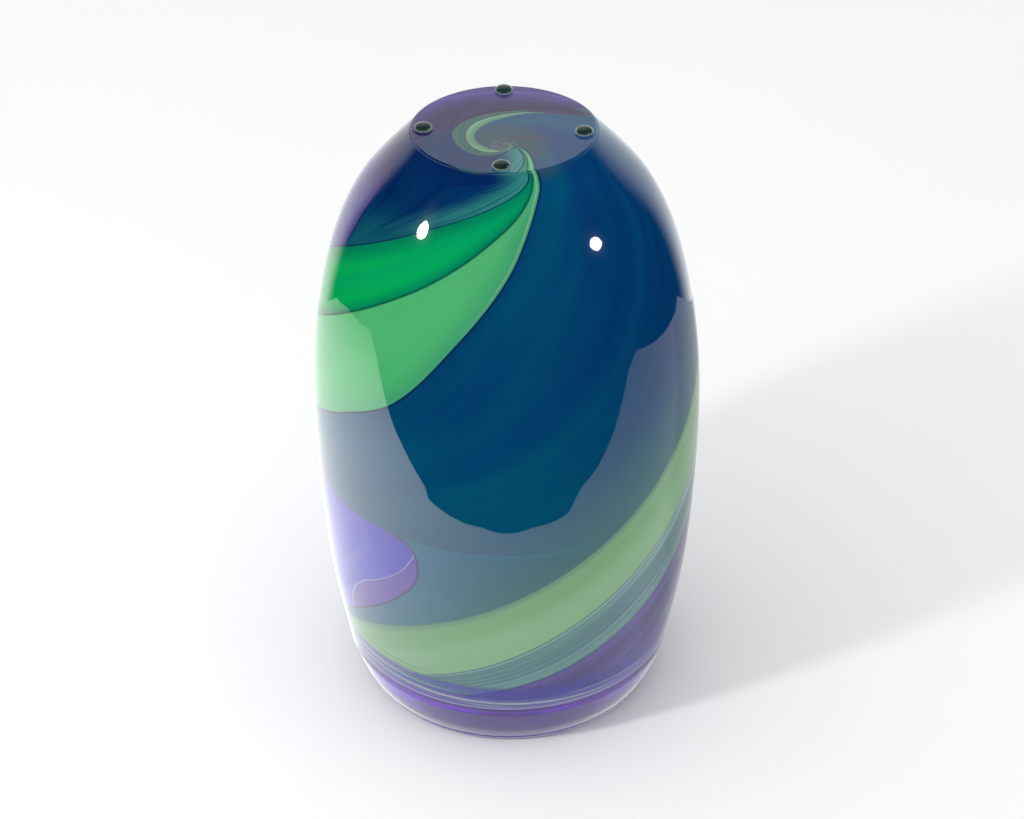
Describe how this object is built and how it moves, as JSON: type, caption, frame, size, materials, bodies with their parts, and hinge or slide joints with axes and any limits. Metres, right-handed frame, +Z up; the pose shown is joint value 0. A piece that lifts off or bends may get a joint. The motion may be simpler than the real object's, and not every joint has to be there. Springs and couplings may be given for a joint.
{
  "type": "vase",
  "caption": "Tall rounded art glass vase stood mouth down: spiral colour ribbons under a thick clear casing, violet lip, ground foot with pads.",
  "frame": {"origin": "centre of the mouth, in the plane that the lip rests on; the vase stands mouth down, as pictured", "axes": "+Z up along the axis of revolution, from the mouth to the ground foot; -Y is the pictured front; turn the part 180 degrees about X to stand it on its foot"},
  "size_m": [0.1752, 0.1752, 0.2877],
  "materials": {
    "clear_glass": "polished clear glass",
    "violet_glass": "transparent violet glass",
    "lip_glass": "transparent violet glass, fire polished",
    "navy_glass": "streaky dense navy and teal glass",
    "emerald_glass": "dense emerald glass",
    "spring_glass": "opal spring green glass",
    "aqua_glass": "translucent aqua glass",
    "violet_panel_glass": "transparent violet glass",
    "eye_glass": "mixed dense glass",
    "pad": "clear polyurethane",
    "pad_film": "clear adhesive film"
  },
  "bodies": {
    "root": {"clear_casing": "clear_glass", "violet_core": "violet_glass", "lip_wrap": "lip_glass", "swirl_eye": "eye_glass", "navy_field": "navy_glass", "navy_shoulder": "navy_glass", "violet_panel": "violet_panel_glass", "violet_window": "violet_panel_glass", "emerald_ribbon": "emerald_glass", "spring_ribbon_upper": "spring_glass", "spring_ribbon_lower": "spring_glass", "aqua_ribbon": "aqua_glass", "pad_film_front": "pad_film", "pad_film_right": "pad_film", "pad_film_back": "pad_film", "pad_film_left": "pad_film", "bumper_pad_front": "pad", "bumper_pad_right": "pad", "bumper_pad_back": "pad", "bumper_pad_left": "pad"}
  },
  "joints": []
}
